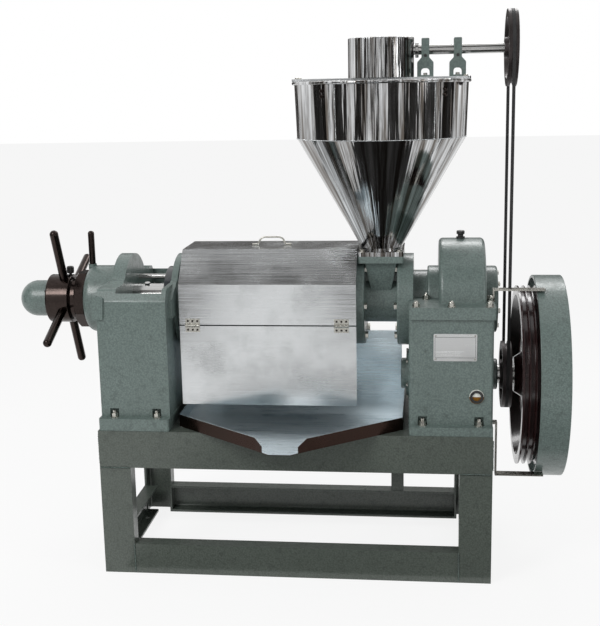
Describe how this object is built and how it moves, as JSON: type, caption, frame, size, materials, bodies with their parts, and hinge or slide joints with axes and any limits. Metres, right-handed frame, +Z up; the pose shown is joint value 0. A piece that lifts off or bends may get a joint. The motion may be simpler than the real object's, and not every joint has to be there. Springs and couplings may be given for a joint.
{
  "type": "screw oil press",
  "caption": "Screw oil press on a channel frame with a stainless hopper, a hinged hood over its cage, an oil tray, a geared drive pulley and a lever-turned cake adjuster.",
  "frame": {"origin": "centre of the anchor bolt pattern on the floor, under the middle of the frame", "axes": "+X along the press from the adjuster to the drive pulley, -Y the working side with the oil lip, +Z up"},
  "size_m": [1.779, 0.807, 1.747],
  "materials": {
    "hammered_paint": "grey-green hammer-finish paint",
    "frame_paint": "grey-green smooth paint",
    "dark_paint": "dark blue-grey paint, semi-gloss",
    "pulley_paint": "glossy dark maroon-black paint",
    "brushed_stainless": "bright brushed stainless sheet",
    "mirror_stainless": "polished spun stainless",
    "polished_steel": "dark polished steel",
    "machined_steel": "machined steel with a film of oil",
    "zinc_steel": "zinc-plated fasteners",
    "black_oxide": "blackened steel",
    "cast_pulley": "grey cast iron",
    "belt_rubber": "black moulded rubber",
    "plate_foil": "bare satin plate",
    "sight_lens": "clear lens over oil"
  },
  "bodies": {
    "press": {"top_rail_front": "frame_paint", "top_rail_rear": "frame_paint", "top_end_rails": "frame_paint", "cross_members": "frame_paint", "front_legs": "frame_paint", "rear_legs": "frame_paint", "floor_rails": "frame_paint", "floor_side_rails": "frame_paint", "rear_post": "frame_paint", "pedestal": "hammered_paint", "foot_studs": "zinc_steel", "thrust_housing": "hammered_paint", "locknut": "polished_steel", "lock_rod": "polished_steel", "cage_bars": "machined_steel", "cage_upper": "hammered_paint", "cage_lower": "hammered_paint", "cage_bolts": "zinc_steel", "feed_throat": "hammered_paint", "throat_bolts": "zinc_steel", "hopper": "mirror_stainless", "hopper_bridge": "brushed_stainless", "gear_can": "mirror_stainless", "bearing_stand_inner": "hammered_paint", "bearing_stand_outer": "hammered_paint", "feed_belt": "belt_rubber", "gearbox_case": "hammered_paint", "gearbox_cover": "hammered_paint", "cover_bolts": "zinc_steel", "oil_plug": "black_oxide", "sight_glass": "sight_lens", "name_plate": "plate_foil", "input_caps": "hammered_paint", "guard_band": "hammered_paint", "guard_brackets": "dark_paint", "hood": "brushed_stainless", "hood_handle": "polished_steel", "hood_leaves": "zinc_steel"},
    "drive": {"input_shaft": "machined_steel", "drive_pulley": "pulley_paint", "lower_pulley": "cast_pulley"},
    "worm_shaft": {"main_shaft": "machined_steel", "worm_string": "machined_steel", "main_gear": "machined_steel"},
    "feed_drive": {"feed_shaft": "machined_steel", "upper_pulley": "cast_pulley", "bevel_wheel": "machined_steel"},
    "stirring_shaft": {"stirrer": "machined_steel", "bevel_crown": "machined_steel"},
    "adjuster_hub": {"lever_hub": "polished_steel", "hub_levers": "polished_steel", "end_cap": "hammered_paint", "thumb_screw": "black_oxide"},
    "choke": {"adjusting_screw": "machined_steel", "tie_bars": "machined_steel", "choke_ring": "dark_paint"},
    "flap": {"hood_flap": "brushed_stainless", "flap_leaves": "zinc_steel"},
    "tray": {"oil_tray": "brushed_stainless"}
  },
  "joints": [
    {"name": "input_spin", "type": "hinge", "parent": "press", "child": "drive", "pos_m": [0.7, 0, 0.6], "axis": [1, 0, 0], "continuous": true},
    {"name": "worm_spin", "type": "hinge", "parent": "press", "child": "worm_shaft", "pos_m": [0, 0, 0.848], "axis": [1, 0, 0], "continuous": true},
    {"name": "feed_spin", "type": "hinge", "parent": "press", "child": "feed_drive", "pos_m": [0.5, 0, 1.631], "axis": [1, 0, 0], "continuous": true},
    {"name": "stirrer_spin", "type": "hinge", "parent": "press", "child": "stirring_shaft", "pos_m": [0.27, 0, 1.3], "axis": [0, 0, 1], "continuous": true},
    {"name": "lever_turn", "type": "hinge", "parent": "press", "child": "adjuster_hub", "pos_m": [-0.796, 0, 0.848], "axis": [1, 0, 0], "range_deg": [-360, 360]},
    {"name": "choke_travel", "type": "slide", "parent": "press", "child": "choke", "axis": [1, 0, 0], "range_m": [-0.006, 0.006]},
    {"name": "flap_hinge", "type": "hinge", "parent": "press", "child": "flap", "pos_m": [-0.082, -0.1845, 0.796], "axis": [-1, 0, 0], "range_deg": [0, 165]},
    {"name": "tray_slide", "type": "slide", "parent": "press", "child": "tray", "axis": [0, -1, 0], "range_m": [0, 0.35]}
  ],
  "couplings": [
    {"joint": "worm_spin", "follows": "input_spin", "ratio": -0.40909},
    {"joint": "feed_spin", "follows": "input_spin", "ratio": 0.9276},
    {"joint": "stirrer_spin", "follows": "input_spin", "ratio": 0.9276},
    {"joint": "choke_travel", "follows": "lever_turn", "m_per_rad": 0.00095493}
  ]
}
